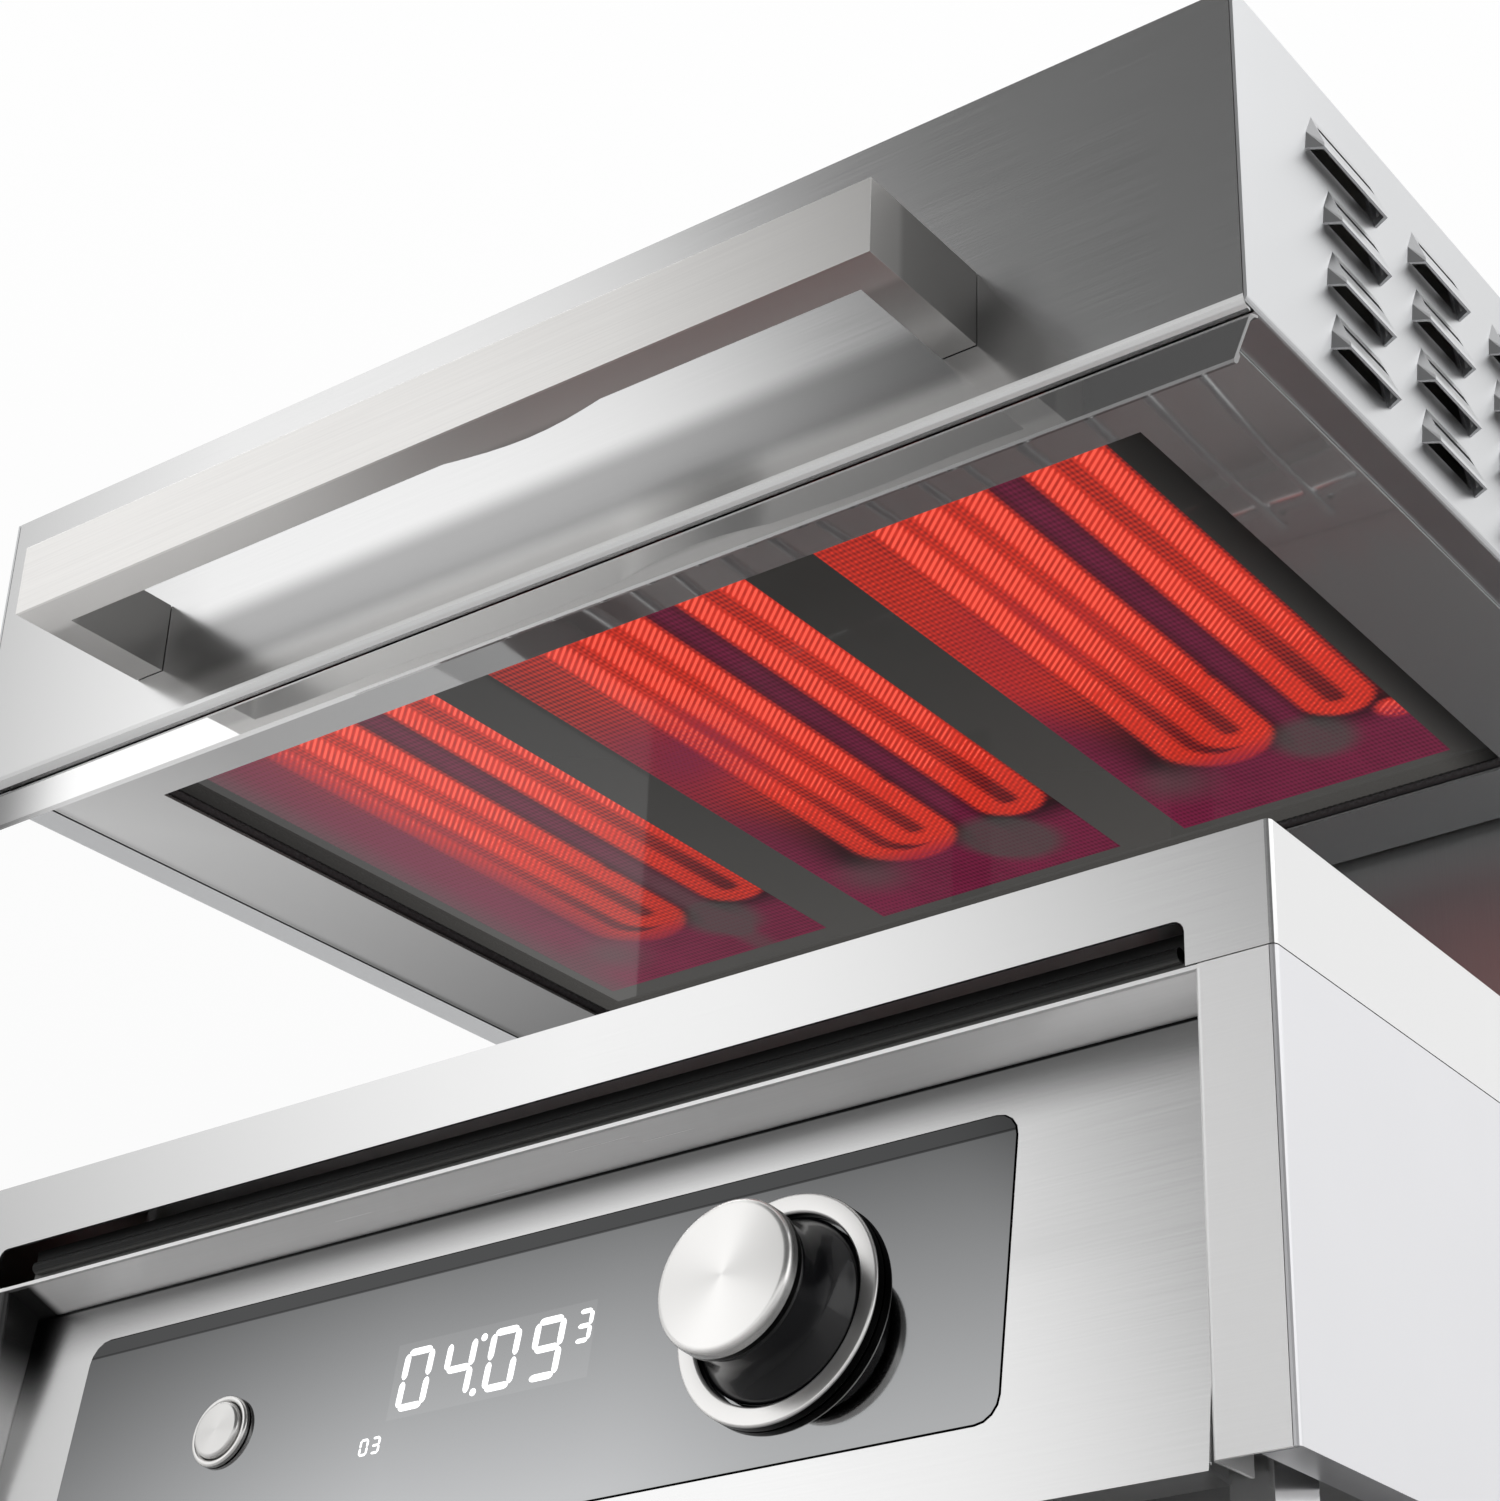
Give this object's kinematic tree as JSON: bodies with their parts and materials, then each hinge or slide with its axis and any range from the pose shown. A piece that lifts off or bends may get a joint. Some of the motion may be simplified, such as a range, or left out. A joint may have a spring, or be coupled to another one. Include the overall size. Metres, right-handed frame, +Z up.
{
  "type": "salamander grill",
  "caption": "Counter-top lift grill: a louvred hood with glowing ribbon heaters behind glass ceramic slides above a base with a dial, display, push button and drip tray.",
  "frame": {"origin": "bottom centre of the overall bounding box, on the plane the feet stand on", "axes": "+Z up, the control panel and handle face -Y, +X to the right seen from the front"},
  "size_m": [0.612, 0.5684, 0.5157],
  "materials": {
    "brushed_steel": "brushed",
    "dark_steel": "satin, in shade",
    "polished_steel": "polished",
    "bright_steel": "spun and polished",
    "satin_steel": "satin",
    "brushed_bar": "brushed bar",
    "galvanised_steel": "galvanised",
    "chrome_wire": "chrome plated",
    "black_enamel": "vitreous enamel",
    "control_glass": "dark, gloss",
    "ceramic_glass": "black glass ceramic with printed dots",
    "seal_rope": "braided fibre",
    "heater_ribbon": "glowing",
    "heater_insulation": "pressed ceramic fibre",
    "limiter_ceramic": "glazed tube",
    "gloss_black": "gloss",
    "strut_black": "gloss paint",
    "black_plastic": "matt",
    "white_plastic": "matt",
    "circuit_board": "solder resist"
  },
  "bodies": {
    "base": {"base_side_left": "brushed_steel", "base_side_right": "brushed_steel", "front_frame": "brushed_steel", "control_fascia": "brushed_steel", "top_cover": "brushed_steel", "base_back": "brushed_steel", "column_back": "brushed_steel", "column_front": "dark_steel", "column_cap": "dark_steel", "base_floor": "galvanised_steel", "tray_deck": "galvanised_steel", "tray_rail_left": "galvanised_steel", "tray_rail_right": "galvanised_steel", "knob_ring": "bright_steel", "button_ring": "bright_steel", "guide_rod_left": "bright_steel", "guide_rod_right": "bright_steel", "control_glass": "control_glass", "strut_cylinder_left": "strut_black", "strut_cylinder_right": "strut_black", "cable_gland": "black_plastic", "control_housing": "black_plastic", "encoder": "black_plastic", "button_switch": "black_plastic", "terminal_block": "white_plastic", "power_board": "circuit_board", "display_board": "circuit_board"},
    "hood": {"hood_front": "brushed_steel", "hood_side_left": "satin_steel", "hood_side_right": "satin_steel", "hood_top": "brushed_steel", "hood_back": "galvanised_steel", "hood_underplate": "polished_steel", "ceramic_glass": "ceramic_glass", "rope_seal": "seal_rope", "handle": "brushed_bar", "carriage": "galvanised_steel", "strut_rod_left": "bright_steel", "strut_rod_right": "bright_steel", "heater_tray_left": "heater_insulation", "heater_tray_middle": "heater_insulation", "heater_tray_right": "heater_insulation", "heater_coil_left": "heater_ribbon", "heater_coil_middle": "heater_ribbon", "heater_coil_right": "heater_ribbon", "limiter_left": "limiter_ceramic", "limiter_middle": "limiter_ceramic", "limiter_right": "limiter_ceramic"},
    "knob": {"knob_body": "gloss_black", "knob_cap": "bright_steel"},
    "button": {"button_cap": "bright_steel"},
    "tray": {"drip_tray": "black_enamel"},
    "rack": {"wire_rack": "chrome_wire"},
    "foot_front_left": {"foot_front_left": "bright_steel"},
    "foot_front_right": {"foot_front_right": "bright_steel"},
    "foot_rear_left": {"foot_rear_left": "bright_steel"},
    "foot_rear_right": {"foot_rear_right": "bright_steel"}
  },
  "joints": [
    {"name": "hood_lift", "type": "slide", "parent": "base", "child": "hood", "axis": [0, 0, 1], "range_m": [-0.12, 0.02]},
    {"name": "drip_tray_slide", "type": "slide", "parent": "base", "child": "tray", "axis": [0, -1, 0], "range_m": [0, 0.26]},
    {"name": "rack_lift", "type": "slide", "parent": "base", "child": "rack", "axis": [0, 0, 1], "range_m": [0, 0.1]},
    {"name": "button_press", "type": "slide", "parent": "base", "child": "button", "axis": [0, 0.9927, -0.1207], "range_m": [0, 0.0015], "stiffness_N_per_m": 600, "springref_m": -0.001},
    {"name": "knob_turn", "type": "hinge", "parent": "base", "child": "knob", "pos_m": [0.104, -0.1918, 0.09814], "axis": [0, -0.9927, 0.1207], "continuous": true},
    {"name": "foot_front_left_turn", "type": "hinge", "parent": "base", "child": "foot_front_left", "pos_m": [-0.256, -0.16, 0], "axis": [0, 0, 1], "continuous": true},
    {"name": "foot_front_right_turn", "type": "hinge", "parent": "base", "child": "foot_front_right", "pos_m": [0.256, -0.16, 0], "axis": [0, 0, 1], "continuous": true},
    {"name": "foot_rear_left_turn", "type": "hinge", "parent": "base", "child": "foot_rear_left", "pos_m": [-0.256, 0.232, 0], "axis": [0, 0, 1], "continuous": true},
    {"name": "foot_rear_right_turn", "type": "hinge", "parent": "base", "child": "foot_rear_right", "pos_m": [0.256, 0.232, 0], "axis": [0, 0, 1], "continuous": true}
  ]
}
